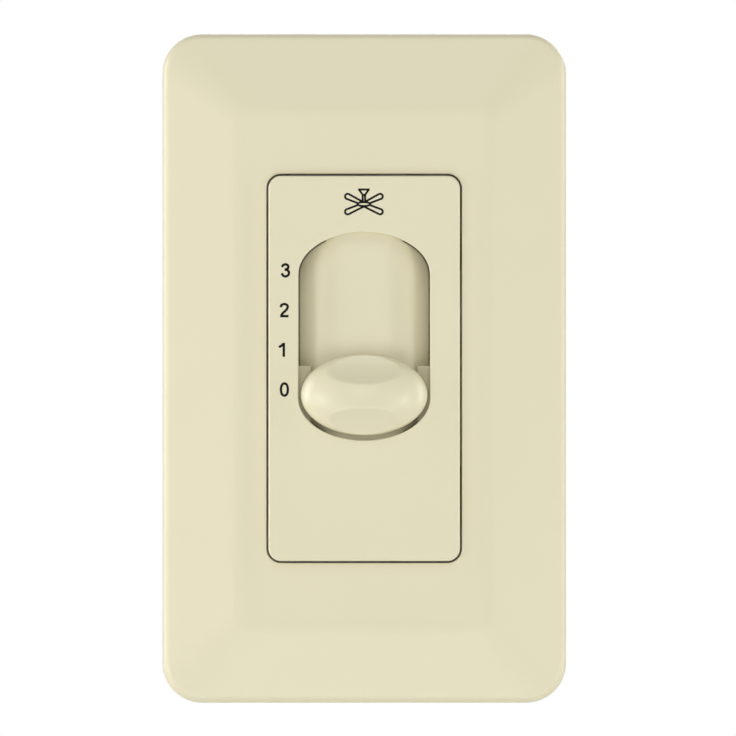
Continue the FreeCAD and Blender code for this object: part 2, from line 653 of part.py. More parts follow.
def detent_spring():
    """Leaf in a pocket of the carriage, with a V nose that drops into a slot of the strap."""
    end_z = carriage_bottom + DETENT_POCKET_DEPTH - DETENT_THICKNESS / 2
    shoulder_z = carriage_bottom + DETENT_THICKNESS / 2
    nose_z = strap_front - DETENT_NOSE_BITE
    line = [(-DETENT_LENGTH / 2, end_z), (-DETENT_NOSE_WIDTH / 2, shoulder_z), (0, nose_z),
            (DETENT_NOSE_WIDTH / 2, shoulder_z), (DETENT_LENGTH / 2, end_z)]
    return moved(bent_strip(line, DETENT_THICKNESS, DETENT_WIDTH), DETENT_X, rest_y, 0)


def wiper_contact():
    """Spring strip staked under the carriage's post, bridging the bus and one position pad."""
    flat_z = post_end - WIPER_THICKNESS / 2
    touch_z = pad_front + WIPER_THICKNESS
    half = [(WIPER_FLAT / 2, flat_z), (PAD_X, touch_z), (PAD_X + WIPER_TIP_REACH, touch_z + WIPER_TIP_RISE)]
    line = [(-y, z) for y, z in half[::-1]] + half
    strip = bent_strip(line, WIPER_THICKNESS, WIPER_WIDTH)
    strip = strip.cut(disc(PEG_RADIUS + THREAD_CLEARANCE, pad_front, post_end))
    strip.rotate(at(0, 0, 0), at(0, 0, 1), QUARTER_TURN)
    return moved(strip, 0, rest_y, 0)


def insulator_sheet():
    """Fibre sheet between the strap and the case, open for the post, the hooks and the case screws."""
    sheet = slab(CASE_WIDTH, CASE_HEIGHT, CASE_CORNER_RADIUS, case_front, strap_back)
    side_reach = POST_WIDTH / 2 + POST_CLEARANCE + SHEET_CLEARANCE
    end_reach = POST_HEIGHT / 2 + POST_END_CLEARANCE + SHEET_CLEARANCE
    cuts = [box((-side_reach, side_reach), (rest_y - end_reach, top_y + end_reach), (case_front, strap_back))]
    for side in SIDES:
        for end in SIDES:
            cuts.append(disc(CASE_SCREW_RADIUS + SCREW_CLEARANCE, case_front, strap_back,
                             side * case_screw_x, end * CASE_SCREW_Y))
            cuts.append(block(FACE_WALL + HOOK_BARB + 2 * SHEET_CLEARANCE, HOOK_WIDTH + 2 * SHEET_CLEARANCE,
                              case_front, strap_back, side * (face_inner_x + (FACE_WALL - HOOK_BARB) / 2),
                              end * HOOK_OFFSET))
    return sheet.cut(cuts)


def case_screw_places():
    return [(side * case_screw_x, end * CASE_SCREW_Y) for side in SIDES for end in SIDES]


def board_screw_places():
    return [(-side * BOARD_SCREW_X, side * BOARD_SCREW_Y) for side in SIDES]


def rear_case():
    """Moulded box behind the strap, with screw bosses, pillars for the board and terminal niches."""
    floor = case_back + CASE_WALL
    form = slab(CASE_WIDTH, CASE_HEIGHT, CASE_CORNER_RADIUS, case_back, case_front)
    form = form.makeFillet(CASE_EDGE_ROUND, edges_at(form, case_back))
    hollow = slab(CASE_WIDTH - 2 * CASE_WALL, CASE_HEIGHT - 2 * CASE_WALL, CASE_CORNER_RADIUS - CASE_WALL,
                  floor, case_front)
    additions = []
    cuts = back_marks()
    for x, y in case_screw_places():
        additions.append(disc(CASE_BOSS_RADIUS, case_back + CASE_WALL / 2, case_front, x, y))
        cuts.append(disc(CASE_SCREW_RADIUS + THREAD_CLEARANCE, strap_front - CASE_SCREW_LENGTH - PILOT_DEPTH,
                         case_front, x, y))
    for side in SIDES:
        for end in SIDES:
            additions.append(disc(PILLAR_RADIUS, case_back + CASE_WALL / 2, board_back,
                                  side * BOARD_SCREW_X, end * BOARD_SCREW_Y))
    pilot_end = board_front - BOARD_SCREW_LENGTH - PILOT_DEPTH
    for x, y in board_screw_places():
        cuts.append(disc(BOARD_SCREW_RADIUS + THREAD_CLEARANCE, pilot_end, board_back, x, y))
    for side in SIDES:
        additions.append(niche_lining(side))
        cuts += niche_cuts(side)
    return joined(form.cut(hollow), *additions).cut(cuts)


def back_marks():
    """Sunk panel in the back of the case, with ejector pin marks and a groove to gauge stripped wires by."""
    panel_floor = case_back + PANEL_DEPTH
    gauge_floor = panel_floor + STRIP_GAUGE_DEPTH
    mark_x = CASE_WIDTH / 2 - EJECTOR_MARK_INSET
    mark_y = CASE_HEIGHT / 2 - EJECTOR_MARK_INSET
    cuts = [slab(CASE_WIDTH - 2 * PANEL_INSET, CASE_HEIGHT - 2 * PANEL_INSET, PANEL_CORNER_RADIUS,
                 case_back, panel_floor)]
    cuts.append(block(STRIP_GAUGE_LENGTH, STRIP_GAUGE_WIDTH, case_back, gauge_floor, 0, STRIP_GAUGE_Y))
    for side in SIDES:
        cuts.append(disc(STRIP_GAUGE_WIDTH / 2, case_back, gauge_floor, side * STRIP_GAUGE_LENGTH / 2,
                         STRIP_GAUGE_Y))
        for end in SIDES:
            cuts.append(disc(EJECTOR_MARK_RADIUS, case_back, panel_floor + EJECTOR_MARK_DEPTH,
                             side * mark_x, end * mark_y))
    return cuts


def niche_lining(side):
    """Thick patch of the case's side wall that the terminal niche is sunk into."""
    half_length = NICHE_LENGTH / 2 + CASE_WALL
    return block(NICHE_DEPTH + CASE_WALL, NICHE_HEIGHT + 2 * CASE_WALL, terminal_z - half_length,
                 terminal_z + half_length, side * (CASE_WIDTH - NICHE_DEPTH - CASE_WALL) / 2, TERMINAL_Y)


def niche_cuts(side):
    """The niche itself, and the hole and slit through its floor for the screw and the tongue."""
    niche = block(NICHE_DEPTH, NICHE_HEIGHT, terminal_z - NICHE_LENGTH / 2, terminal_z + NICHE_LENGTH / 2,
                  side * (CASE_WIDTH - NICHE_DEPTH) / 2, TERMINAL_Y)
    inner_x = niche_x - CASE_WALL
    hole = Part.makeCylinder(TERMINAL_SCREW_RADIUS + SCREW_CLEARANCE, CASE_WALL,
                             at(side * inner_x, TERMINAL_Y, terminal_z), at(side, 0, 0))
    slit_y = TONGUE_WIDTH / 2 + TONGUE_CLEARANCE
    slit = box(sorted((side * inner_x, side * niche_x)), (TERMINAL_Y - slit_y, TERMINAL_Y + slit_y),
               (tongue_low - TONGUE_CLEARANCE, tongue_low + TERMINAL_PLATE_THICKNESS + TONGUE_CLEARANCE))
    return [niche, hole, slit]


def case_screws():
    """Four screws through the strap and the sheet into the bosses of the case."""
    one = screw(CASE_SCREW_RADIUS, CASE_SCREW_LENGTH, CASE_SCREW_HEAD_RADIUS, CASE_SCREW_HEAD_HEIGHT)
    return Part.makeCompound([moved(one, x, y, strap_front) for x, y in case_screw_places()])


def resistor_places():
    return [RESISTOR_Y - RESISTOR_PITCH * row for row in range(RESISTOR_COUNT)]


def circuit_board():
    """Board on the pillars of the case, drilled for its screws, leads and terminal tongues."""
    board = block(BOARD_WIDTH, BOARD_HEIGHT, board_back, board_front)
    cuts = [disc(BOARD_SCREW_RADIUS + SCREW_CLEARANCE, board_back, board_front, x, y)
            for x, y in board_screw_places()]
    slot_width = TERMINAL_PLATE_THICKNESS + 2 * TONGUE_CLEARANCE
    slot_height = TONGUE_WIDTH + 2 * TONGUE_CLEARANCE
    for side in SIDES:
        leads = [(CAPACITOR_LEAD_PITCH / 2, y) for y in (MEDIUM_CAPACITOR_Y, LOW_CAPACITOR_Y)]
        leads += [(resistor_lead_x, y) for y in resistor_places()]
        cuts += [disc(LEAD_RADIUS + LEAD_CLEARANCE, board_back, board_front, side * x, y) for x, y in leads]
        cuts.append(block(slot_width, slot_height, board_back, board_front, side * tongue_x, TERMINAL_Y))
    return board.cut(cuts)


def board_screws():
    """Two screws that hold the board to the pillars of the case."""
    one = screw(BOARD_SCREW_RADIUS, BOARD_SCREW_LENGTH, BOARD_SCREW_HEAD_RADIUS, BOARD_SCREW_HEAD_HEIGHT)
    return Part.makeCompound([moved(one, x, y, board_front) for x, y in board_screw_places()])


def position_contacts():
    """Four pads on the board, one under the wiper at each position of the knob."""
    return Part.makeCompound([block(PAD_WIDTH, PAD_HEIGHT, board_front, pad_front, PAD_X, y)
                              for y in stops_y])


def common_bus():
    """Long pad on the board under the other end of the wiper."""
    return box((-PAD_X - PAD_WIDTH / 2, -PAD_X + PAD_WIDTH / 2),
               (rest_y - BUS_OVERHANG, top_y + BUS_OVERHANG), (board_front, pad_front))


def capacitor(height, depth, y):
    """Boxed film capacitor on the back of the board."""
    body = block(CAPACITOR_WIDTH, height, board_back - depth, board_back, 0, y)
    return body.makeFillet(CAPACITOR_EDGE_ROUND, body.Edges)


def speed_capacitor_medium():
    return capacitor(MEDIUM_CAPACITOR_HEIGHT, MEDIUM_CAPACITOR_DEPTH, MEDIUM_CAPACITOR_Y)


def speed_capacitor_low():
    return capacitor(LOW_CAPACITOR_HEIGHT, LOW_CAPACITOR_DEPTH, LOW_CAPACITOR_Y)


def capacitor_leads():
    """Straight leads of both capacitors, through the board."""
    return Part.makeCompound([disc(LEAD_RADIUS, board_back, board_front + LEAD_STUB,
                                   side * CAPACITOR_LEAD_PITCH / 2, y)
                              for y in (MEDIUM_CAPACITOR_Y, LOW_CAPACITOR_Y) for side in SIDES])


def bleed_resistors():
    """Small round resistors lying behind the board."""
    bodies = []
    for y in resistor_places():
        body = Part.makeCylinder(RESISTOR_RADIUS, RESISTOR_LENGTH, at(-RESISTOR_LENGTH / 2, y, resistor_z),
                                 at(1, 0, 0))
        ends = [edge for edge in body.Edges if edge.BoundBox.XLength < LEVEL]
        bodies.append(body.makeFillet(RESISTOR_END_ROUND, ends))
    return Part.makeCompound(bodies)


def resistor_leads():
    """Wires from the ends of the resistors, bent forward through the board."""
    leads = []
    for y in resistor_places():
        for side in SIDES:
            start = at(side * RESISTOR_LENGTH / 2, y, resistor_z)
            bend_start = at(side * (resistor_lead_x - RESISTOR_LEAD_BEND), y, resistor_z)
            slant = RESISTOR_LEAD_BEND * math.sin(math.radians(QUARTER_TURN / 2))
            bend_middle = at(side * (resistor_lead_x - RESISTOR_LEAD_BEND + slant), y,
                             resistor_z + RESISTOR_LEAD_BEND - slant)
            bend_end = at(side * resistor_lead_x, y, resistor_z + RESISTOR_LEAD_BEND)
            finish = at(side * resistor_lead_x, y, board_front + LEAD_STUB)
            route = Part.Wire([Part.LineSegment(start, bend_start).toShape(),
                               Part.Arc(bend_start, bend_middle, bend_end).toShape(),
                               Part.LineSegment(bend_end, finish).toShape()])
            section = Part.Wire([Part.Circle(start, at(1, 0, 0), LEAD_RADIUS).toShape()])
            leads.append(route.makePipeShell([section], True, False))
    return Part.makeCompound(leads)


def terminal_plates():
    """Two bent brass plates in the niches, each with a tongue through the wall and up to the board."""
    plates = []
    for side in SIDES:
        face = box(sorted((side * niche_x, side * terminal_face_x)),
                   (TERMINAL_Y - NICHE_HEIGHT / 2 + TERMINAL_PLATE_GAP,
                    TERMINAL_Y + NICHE_HEIGHT / 2 - TERMINAL_PLATE_GAP),
                   (terminal_z - NICHE_LENGTH / 2 + TERMINAL_PLATE_GAP,
                    terminal_z + NICHE_LENGTH / 2 - TERMINAL_PLATE_GAP))
        tongue_inner = niche_x - TONGUE_LENGTH
        tongue = box(sorted((side * tongue_inner, side * terminal_face_x)),
                     (TERMINAL_Y - TONGUE_WIDTH / 2, TERMINAL_Y + TONGUE_WIDTH / 2),
                     (tongue_low, tongue_low + TERMINAL_PLATE_THICKNESS))
        leg = block(TERMINAL_PLATE_THICKNESS, TONGUE_WIDTH, tongue_low, board_front + LEAD_STUB,
                    side * tongue_x, TERMINAL_Y)
        hole = Part.makeCylinder(TERMINAL_SCREW_RADIUS + THREAD_CLEARANCE, TERMINAL_PLATE_THICKNESS,
                                 at(side * niche_x, TERMINAL_Y, terminal_z), at(side, 0, 0))
        plates.append(joined(face, tongue, leg).cut(hole))
    return Part.makeCompound(plates)


def terminal_screws():
    """Two binding screws in the terminal plates."""
    screws = []
    for side in SIDES:
        one = screw(TERMINAL_SCREW_RADIUS, TERMINAL_SCREW_LENGTH, TERMINAL_SCREW_HEAD_RADIUS,
                    TERMINAL_SCREW_HEAD_HEIGHT)
        one.rotate(at(0, 0, 0), at(0, 1, 0), side * QUARTER_TURN)
        screws.append(moved(one, side * terminal_face_x, TERMINAL_Y, terminal_z))
    return Part.makeCompound(screws)


def ground_screw():
    """Earth screw in the lower end of the strap, with its head behind the strap."""
    one = screw(TERMINAL_SCREW_RADIUS, STRAP_THICKNESS, GROUND_SCREW_HEAD_RADIUS, GROUND_SCREW_HEAD_HEIGHT)
    one.rotate(at(0, 0, 0), at(1, 0, 0), 2 * QUARTER_TURN)
    return moved(one, -GROUND_SCREW_X, ground_screw_y, strap_back)


def write(name, shape):
    """Stand a finished piece upright against the wall and keep it as one file."""
    upright = shape.copy()
    upright.rotate(at(0, 0, 0), at(1, 0, 0), QUARTER_TURN)
    upright.exportStep("parts/" + name + ".step")


PIECES = (wall_plate, plate_frame, plate_frame_screws, mounting_strap, box_screws, screw_retainers,
          face_bezel, slide_knob, slide_carriage, detent_spring, wiper_contact, insulator_sheet, rear_case,
          case_screws, circuit_board, board_screws, position_contacts, common_bus, speed_capacitor_medium,
          speed_capacitor_low, capacitor_leads, bleed_resistors, resistor_leads, terminal_plates,
          terminal_screws, ground_screw)

os.makedirs("parts", exist_ok=True)
for piece in PIECES:
    write(piece.__name__, piece())
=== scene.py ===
import bmesh
import bpy
import numpy as np
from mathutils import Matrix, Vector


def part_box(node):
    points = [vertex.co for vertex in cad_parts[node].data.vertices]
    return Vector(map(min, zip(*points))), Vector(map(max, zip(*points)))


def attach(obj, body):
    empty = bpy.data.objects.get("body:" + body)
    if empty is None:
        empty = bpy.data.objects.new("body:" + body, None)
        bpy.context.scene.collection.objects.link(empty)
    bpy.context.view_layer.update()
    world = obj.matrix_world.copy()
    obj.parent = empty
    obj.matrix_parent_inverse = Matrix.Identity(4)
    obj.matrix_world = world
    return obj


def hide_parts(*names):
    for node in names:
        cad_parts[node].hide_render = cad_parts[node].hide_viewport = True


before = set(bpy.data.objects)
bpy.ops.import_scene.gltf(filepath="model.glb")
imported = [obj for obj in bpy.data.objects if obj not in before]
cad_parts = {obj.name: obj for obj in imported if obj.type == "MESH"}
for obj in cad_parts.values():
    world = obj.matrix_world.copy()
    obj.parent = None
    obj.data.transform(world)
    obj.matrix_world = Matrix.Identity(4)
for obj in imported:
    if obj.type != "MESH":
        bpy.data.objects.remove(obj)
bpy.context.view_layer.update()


# Mounting strap
# The steel yoke that everything is fixed to, screwed to the wall box through its slotted ends.
# Stamped from rolled sheet and zinc plated: grey, with a faint grain along its length and a pale bloom.

def add_node(tree, kind, inputs, **settings):
    """Node of one kind in a tree; each input is a value to set or a socket to link."""
    node = tree.nodes.new(kind)
    for key, value in settings.items():
        setattr(node, key, value)
    for key, value in inputs.items():
        if isinstance(value, bpy.types.NodeSocket):
            tree.links.new(value, node.inputs[key])
        else:
            node.inputs[key].default_value = value
    return node


def new_group(name, inputs, outputs):
    """Shader node group with named sockets, and its two end nodes."""
    group = bpy.data.node_groups.new(name, "ShaderNodeTree")
    for title, (kind, value) in inputs.items():
        socket = group.interface.new_socket(title, in_out="INPUT", socket_type=kind)
        socket.default_value = value
    for title, kind in outputs.items():
        group.interface.new_socket(title, in_out="OUTPUT", socket_type=kind)
    return group, group.nodes.new("NodeGroupInput"), group.nodes.new("NodeGroupOutput")


def noise(tree, place, scale, detail=2.0):
    """Noise texture at a number of features per metre, as a value about 0.5."""
    inputs = {"Vector": place, "Scale": scale, "Detail": detail}
    return add_node(tree, "ShaderNodeTexNoise", inputs).outputs["Fac"]


def arithmetic(tree, operation, first, second, third=0.0):
    """Math node on up to three values or sockets."""
    inputs = {0: first, 1: second, 2: third}
    return add_node(tree, "ShaderNodeMath", inputs, operation=operation).outputs["Value"]


def shaded(tree, colour, amount, pattern):
    """A colour made lighter and darker by up to an amount each way, following a pattern about 0.5."""
    swing = arithmetic(tree, "MULTIPLY", amount, 2.0)
    centred = arithmetic(tree, "SUBTRACT", pattern, 0.5)
    value = arithmetic(tree, "MULTIPLY_ADD", centred, swing, 1.0)
    return add_node(tree, "ShaderNodeHueSaturation", {"Color": colour, "Value": value}).outputs["Color"]


SURFACE_OUTPUTS = {"Colour": "NodeSocketColor", "Roughness": "NodeSocketFloat", "Height": "NodeSocketFloat"}
GRAIN_STRETCH = (1.0, 1.0, 0.05)
GRAIN_SHADE = 0.08
BLOOM_ROUGHNESS = 0.5
PIT_SHARE = 0.4
METAL = {"Metallic": 1.0}

plating, entry, leave = new_group("plating", {
    "Place": ("NodeSocketVector", (0.0, 0.0, 0.0)),
    "Colour": ("NodeSocketColor", (0.6, 0.6, 0.6, 1.0)),
    "Bloom": ("NodeSocketFloat", 0.1),
    "Dullness": ("NodeSocketFloat", 0.35)}, SURFACE_OUTPUTS)
along = add_node(plating, "ShaderNodeMapping", {"Vector": entry.outputs["Place"], "Scale": GRAIN_STRETCH})
grain = noise(plating, along.outputs["Vector"], scale=2600.0, detail=3.0)
bloom = noise(plating, entry.outputs["Place"], scale=140.0, detail=6.0)
pits = noise(plating, entry.outputs["Place"], scale=5200.0)
tone = shaded(plating, entry.outputs["Colour"], entry.outputs["Bloom"], bloom)
streaked = shaded(plating, tone, GRAIN_SHADE, grain)
spread = arithmetic(plating, "SUBTRACT", bloom, 0.5)
rough = arithmetic(plating, "MULTIPLY_ADD", spread, BLOOM_ROUGHNESS, entry.outputs["Dullness"])
relief = arithmetic(plating, "MULTIPLY_ADD", pits, PIT_SHARE, grain)
plating.links.new(streaked, leave.inputs["Colour"])
plating.links.new(rough, leave.inputs["Roughness"])
plating.links.new(relief, leave.inputs["Height"])


def finish(name, group, values, depth, shader_values=()):
    """Material whose group drives colour, roughness and a bump of one depth; the shader holds the rest."""
    material = bpy.data.materials.new(name)
    material.use_nodes = True
    tree = material.node_tree
    shader = tree.nodes["Principled BSDF"]
    for socket, value in dict(shader_values).items():
        shader.inputs[socket].default_value = value
    place = add_node(tree, "ShaderNodeTexCoord", {}).outputs["Object"]
    skin = add_node(tree, "ShaderNodeGroup", {}, node_tree=group)
    tree.links.new(place, skin.inputs["Place"])
    for title, value in values.items():
        skin.inputs[title].default_value = value
    bump = add_node(tree, "ShaderNodeBump", {"Height": skin.outputs["Height"], "Distance": depth,
                                             "Strength": 1.0})
    tree.links.new(skin.outputs["Colour"], shader.inputs["Base Color"])
    tree.links.new(skin.outputs["Roughness"], shader.inputs["Roughness"])
    tree.links.new(bump.outputs["Normal"], shader.inputs["Normal"])
    return material


def dress(material, *nodes):
    """Gives solids of the frame a material in each of their slots."""
    for node in nodes:
        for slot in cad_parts[node].material_slots:
            slot.material = material


zinc = finish("zinc_plate", plating, {"Colour": (0.42, 0.41, 0.39, 1.0), "Bloom": 0.12, "Dullness": 0.48},
              depth=2e-6, shader_values=METAL)
dress(zinc, "mounting_strap")


# Box screws
# Two long slotted machine screws that hold the strap to the wall box, kept in place by fibre squares.
# Rolled threads on zinc plated steel, with a plain neck under the head that the squares grip.

MILLIMETRE = 0.001
MERGE_GAP = 1e-7
HEAD_CUTS = 14
HEAD_STEPS = 36
THREAD_RINGS = 10
THREAD_SIDES = 28
THREAD_DEPTH = 0.62
CREST_GAIN = 1.3
ROOT_SHARE = 0.15
TIP_TURNS = 1.2
TIP_SHARE = 0.55
SHANK_INTO_HEAD = 0.2
FACING_OUT = (0, 0, 1)
FACING_IN = (0, 0, -1)
BOX_SCREW_UP = 41.67
BOX_SCREW_TURNS = {1: 0.35, -1: 1.1}
BOX_SCREW_HEAD = {"radius": 2.8, "height": 2.2, "edge": 0.5, "slot_width": 0.9, "slot_depth": 0.8}
BOX_SCREW_SHANK = {"radius": 1.75, "length": 23.5, "pitch": 0.79, "neck": 2.5, "neck_radius": 1.4}


def slotted_head(radius, height, edge, slot_width, slot_depth):
    """Round head with a slot, as closed loops carried across it.

    Each loop is a cut at one distance t from the middle of the slot. It runs over the top along the chord of
    half length sqrt(radius^2 - t^2) and back along the seat. The top is level, falls away along a quarter
    circle at the rim, and is lowered to the slot's floor where t is inside the slot.
    """
    lip = slot_width / 2
    outside = radius - (radius - lip) * np.sin(np.linspace(0, np.pi / 2, HEAD_CUTS))
    across = np.concatenate([outside[::-1], [lip, -lip], -outside])[::-1]
    floor = np.zeros(across.size, bool)
    floor[outside.size:outside.size + 2] = True
    chord = np.sqrt(np.maximum(radius ** 2 - across ** 2, 0))[:, None]
    along = chord * -np.cos(np.linspace(0, np.pi, HEAD_STEPS))[None, :]
    reach = np.hypot(along, across[:, None])
    fall = np.clip((reach - radius + edge) / edge, 0, 1)
    top = height - edge * (1 - np.sqrt(1 - fall ** 2))
    top = np.where(floor[:, None], np.minimum(top, height - slot_depth), top)
    beside = np.broadcast_to(across[:, None], along.shape)
    upper = np.stack([along, beside, top], axis=-1)
    lower = np.stack([along, beside, np.zeros_like(top)], axis=-1)[:, ::-1]
    return np.concatenate([upper, lower], axis=1)


def threaded_shank(radius, length, pitch, neck, neck_radius):
    """Threaded bar below the seat, as rings down its axis.

    The radius at a depth and angle is a core plus a ridge: a triangle wave of depth over pitch less the turn,
    clipped to a small crest, that fades in after the plain neck and out at the tapered tip.
    """
    rings = int(length / pitch * THREAD_RINGS)
    depth = np.linspace(0, length, rings)[:, None]
    turn = np.linspace(0, 1, THREAD_SIDES, endpoint=False)[None, :]
    wave = np.abs((depth / pitch - turn) % 1 - 0.5) * 2
    ridge = np.clip(wave * CREST_GAIN - ROOT_SHARE, 0, 1)
    core = radius - THREAD_DEPTH * pitch
    fade = np.clip((depth - neck) / pitch, 0, 1) * np.clip((length - depth) / pitch, 0, 1)
    plain = np.where(depth < neck, neck_radius, core)
    taper = np.clip((length - depth) / (TIP_TURNS * pitch), TIP_SHARE, 1)
    bar = (plain + (radius - plain) * ridge * fade) * np.where(depth < neck, 1, taper)
    angle = 2 * np.pi * turn
    down = np.broadcast_to(-depth, bar.shape)
    rows = np.stack([bar * np.cos(angle), bar * np.sin(angle), down], axis=-1)
    start = np.broadcast_to([0, 0, SHANK_INTO_HEAD], rows[:1].shape)
    end = np.broadcast_to([0, 0, -length], rows[:1].shape)
    return np.concatenate([start, rows, end])


def placed(points, origin, axis, slot_turn=0.0):
    """Points of a piece along +z, turned to point along an axis and set at an origin, in (x, up, out).

    The slot starts square to the axis and to out, or to up where the axis points out, and is then turned.
    """
    axis = np.asarray(axis, float)
    first = np.cross(axis, (0.0, 1.0, 0.0) if axis[2] else (0.0, 0.0, 1.0))
    first /= np.linalg.norm(first)
    second = np.cross(axis, first)
    turned = np.stack([np.cos(slot_turn) * first + np.sin(slot_turn) * second,
                       np.cos(slot_turn) * second - np.sin(slot_turn) * first, axis])
    return points @ turned + origin


def screw(head, shank, seat, axis, slot_turn):
    """Grids of one screw: a slotted head that stands on its seat and a threaded shank behind it."""
    return [placed(slotted_head(**head), seat, axis, slot_turn), placed(threaded_shank(**shank), seat, axis)]


def make_piece(name, grids, material, body, sharp=40.0):
    """One object from grids of points in millimetres as (x, up, out), each row joined round to its start.

    Points that meet are merged, which closes the poles, and the faces are turned outwards.
    """
    points = []
    quads = []
    count = 0
    for grid in grids:
        rows, columns = grid.shape[:2]
        index = count + np.arange(rows * columns).reshape(rows, columns)
        index = np.concatenate([index, index[:, :1]], axis=1)
        corners = (index[:-1, :-1], index[:-1, 1:], index[1:, 1:], index[1:, :-1])
        quads.append(np.stack(corners, axis=-1).reshape(-1, 4))
        points.append(grid.reshape(-1, 3))
        count += rows * columns
    stood = np.concatenate(points)[:, (0, 2, 1)] * (MILLIMETRE, -MILLIMETRE, MILLIMETRE)
    mesh = bpy.data.meshes.new(name)
    mesh.from_pydata(stood.tolist(), [], np.concatenate(quads).tolist())
    tidy = bmesh.new()
    tidy.from_mesh(mesh)
    bmesh.ops.remove_doubles(tidy, verts=tidy.verts, dist=MERGE_GAP)
    bmesh.ops.dissolve_degenerate(tidy, edges=tidy.edges, dist=MERGE_GAP)
    bmesh.ops.recalc_face_normals(tidy, faces=tidy.faces)
    tidy.to_mesh(mesh)
    tidy.free()
    mesh.shade_smooth()
    mesh.set_sharp_from_angle(angle=np.radians(sharp))
    mesh.materials.append(material)
    piece = bpy.data.objects.new(name, mesh)
    bpy.context.scene.collection.objects.link(piece)
    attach(piece, body)
    return piece


def extent(node):
    """Low and high corners of a solid of the frame in millimetres, as (x, up, out)."""
    low, high = (np.array(corner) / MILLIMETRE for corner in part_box(node))
    return (low[0], low[2], -high[1]), (high[0], high[2], -low[1])


strap_low, strap_high = extent("mounting_strap")
box_screw_grids = []
for end, slot_turn in BOX_SCREW_TURNS.items():
    seat = (0.0, end * BOX_SCREW_UP, strap_high[2])
    box_screw_grids += screw(BOX_SCREW_HEAD, BOX_SCREW_SHANK, seat, FACING_OUT, slot_turn)
screw_zinc = finish("screw_zinc", plating,
                    {"Colour": (0.47, 0.48, 0.49, 1.0), "Bloom": 0.08, "Dullness": 0.28},
                    depth=1e-6, shader_values=METAL)
box_screws = make_piece("box_screw_pair", box_screw_grids, screw_zinc, "housing")
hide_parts("box_screws")


# Fibre squares and insulating sheet
# Vulcanised fibre punched from grey-brown board: squares that grip the box screws, a sheet behind the strap.
# Its felted paper shows as short dark and light hairs under a dry, matt surface.

HAIR_SCALE = 3000.0
HAIR_DETAIL = 4.0
HAIR_LAYERS = (((0.2, 0.6, 0.4), (1.0, 1.0, 0.12)), ((0.9, -0.5, 1.3), (0.12, 1.0, 1.0)))
FELT_ROUGHNESS = (0.25, 0.62)

fibre_board, entry, leave = new_group("fibre_board", {
    "Place": ("NodeSocketVector", (0.0, 0.0, 0.0)),
    "Colour": ("NodeSocketColor", (0.2, 0.2, 0.2, 1.0)),
    "Hairs": ("NodeSocketFloat", 0.3)}, SURFACE_OUTPUTS)
layers = []
for turned, stretched in HAIR_LAYERS:
    lain = add_node(fibre_board, "ShaderNodeMapping", {"Vector": entry.outputs["Place"], "Rotation": turned,
                                                       "Scale": stretched})
    layers.append(noise(fibre_board, lain.outputs["Vector"], HAIR_SCALE, HAIR_DETAIL))
felt = arithmetic(fibre_board, "MULTIPLY", arithmetic(fibre_board, "ADD", *layers), 0.5)
tone = shaded(fibre_board, entry.outputs["Colour"], entry.outputs["Hairs"], felt)
rough = arithmetic(fibre_board, "MULTIPLY_ADD", felt, *FELT_ROUGHNESS)
fibre_board.links.new(tone, leave.inputs["Colour"])
fibre_board.links.new(rough, leave.inputs["Roughness"])
fibre_board.links.new(felt, leave.inputs["Height"])
fibre = finish("grey_fibre", fibre_board, {"Colour": (0.16, 0.13, 0.11, 1.0), "Hairs": 0.5}, depth=2e-5)
dress(fibre, "screw_retainers", "insulator_sheet")


# Rear case and its screws
# The box behind the strap that holds the board, moulded in black phenolic with fine flow marks, dull.
# Four zinc plated screws pull it up against the strap from the front.

moulded_skin, entry, leave = new_group("moulded_skin", {
    "Place": ("NodeSocketVector", (0.0, 0.0, 0.0)),
    "Colour": ("NodeSocketColor", (0.8, 0.8, 0.8, 1.0)),
    "Mottle": ("NodeSocketFloat", 0.02),
    "Dullness": ("NodeSocketFloat", 0.3),
    "Smudges": ("NodeSocketFloat", 0.06),
    "Grain": ("NodeSocketFloat", 0.3)}, SURFACE_OUTPUTS)
cloud = noise(moulded_skin, entry.outputs["Place"], scale=70.0, detail=4.0)
flow = noise(moulded_skin, entry.outputs["Place"], scale=420.0, detail=5.0)
texture = noise(moulded_skin, entry.outputs["Place"], scale=4200.0)
tone = shaded(moulded_skin, entry.outputs["Colour"], entry.outputs["Mottle"], cloud)
spread = arithmetic(moulded_skin, "SUBTRACT", flow, 0.5)
rough = arithmetic(moulded_skin, "MULTIPLY_ADD", spread, entry.outputs["Smudges"],
                   entry.outputs["Dullness"])
relief = arithmetic(moulded_skin, "MULTIPLY_ADD", texture, entry.outputs["Grain"], flow)
moulded_skin.links.new(tone, leave.inputs["Colour"])
moulded_skin.links.new(rough, leave.inputs["Roughness"])
moulded_skin.links.new(relief, leave.inputs["Height"])
phenolic = finish("black_phenolic", moulded_skin,
                  {"Colour": (0.030, 0.029, 0.028, 1.0), "Mottle": 0.25, "Dullness": 0.42, "Smudges": 0.3,
                   "Grain": 0.8}, depth=6e-6)
dress(phenolic, "rear_case")
dress(screw_zinc, "case_screws")


# Circuit board, its contacts and its screws
# A glass laminate board with a green lacquer, screwed to pillars of the case.
# It carries four brass pads, one for each speed, and a long brass bus under the other end of the wiper.

laminate = finish("green_laminate", fibre_board, {"Colour": (0.05, 0.19, 0.07, 1.0), "Hairs": 0.25},
                  depth=4e-6, shader_values={"Coat Weight": 0.4, "Coat Roughness": 0.15})
dress(laminate, "circuit_board")
brass = finish("contact_brass", plating, {"Colour": (0.74, 0.53, 0.22, 1.0), "Bloom": 0.10, "Dullness": 0.26},
               depth=1.5e-6, shader_values=METAL)
dress(brass, "position_contacts", "common_bus")
dress(screw_zinc, "board_screws")


# Speed capacitors and resistors
# Boxed film capacitors in yellow plastic set the two lower speeds, with lacquered resistors across them.
# All stand on tinned wire leads through the board.

